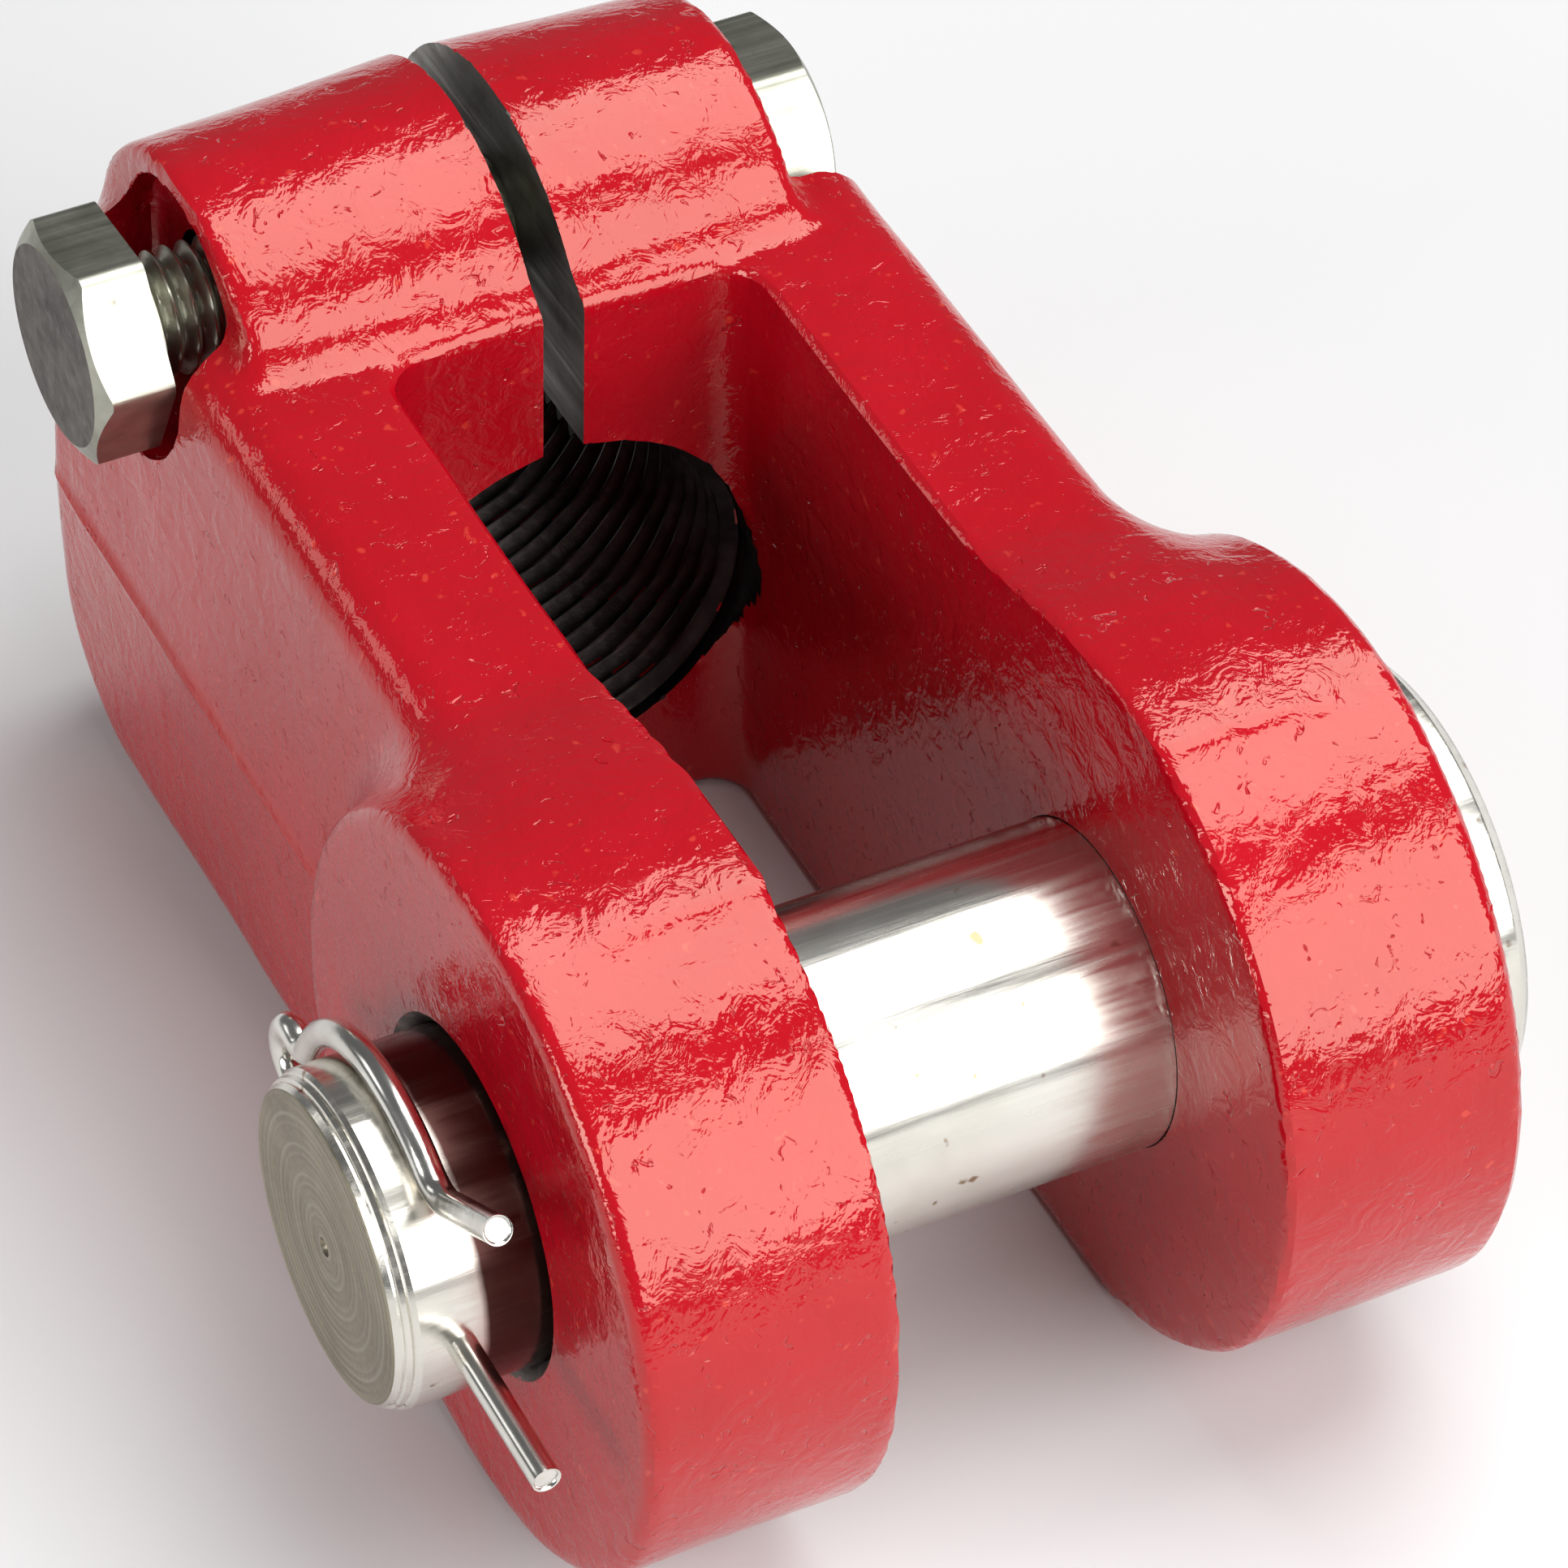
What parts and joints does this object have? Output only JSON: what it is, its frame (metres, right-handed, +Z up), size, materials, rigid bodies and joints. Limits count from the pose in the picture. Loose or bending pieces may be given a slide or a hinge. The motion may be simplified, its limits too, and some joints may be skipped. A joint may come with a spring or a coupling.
{
  "type": "rod-end clevis",
  "caption": "Cast rod-end clevis: a fork with a headed pin kept by a hairpin, and a split threaded hub closed by a clamp screw and nut.",
  "frame": {"origin": "on the clevis pin's axis, midway between the two ears", "axes": "+X out of the open end of the fork, +Y towards the headed end of the clevis pin, +Z up towards the clamp lug"},
  "size_m": [0.1208, 0.0879, 0.0631],
  "materials": {
    "red_casting": "gloss",
    "pin_steel": "satin",
    "spring_steel": "satin",
    "bolt_steel": "satin"
  },
  "bodies": {
    "clevis": {"clevis": "red_casting"},
    "clevis_pin": {"clevis_pin": "pin_steel"},
    "hairpin": {"hairpin": "spring_steel"},
    "clamp_screw": {"clamp_screw": "bolt_steel"},
    "clamp_nut": {"clamp_nut": "bolt_steel"}
  },
  "joints": [
    {"name": "pin_turn", "type": "hinge", "parent": "clevis", "child": "clevis_pin", "pos_m": [0, 0, 0], "axis": [0, 1, 0], "continuous": true},
    {"name": "hairpin_swing", "type": "hinge", "parent": "clevis_pin", "child": "hairpin", "pos_m": [0, -0.0413, 0], "axis": [1, 0, 0], "range_deg": [0, 90]},
    {"name": "nut_turn", "type": "hinge", "parent": "clevis", "child": "clamp_nut", "pos_m": [-0.075, 0.0193, 0.0214], "axis": [0, -1, 0], "range_deg": [-720, 1464]},
    {"name": "screw_draw", "type": "slide", "parent": "clevis", "child": "clamp_screw", "axis": [0, 1, 0], "range_m": [-0.003, 0.0061]}
  ],
  "couplings": [
    {"joint": "nut_turn", "follows": "screw_draw", "rad_per_m": 4188.8}
  ]
}
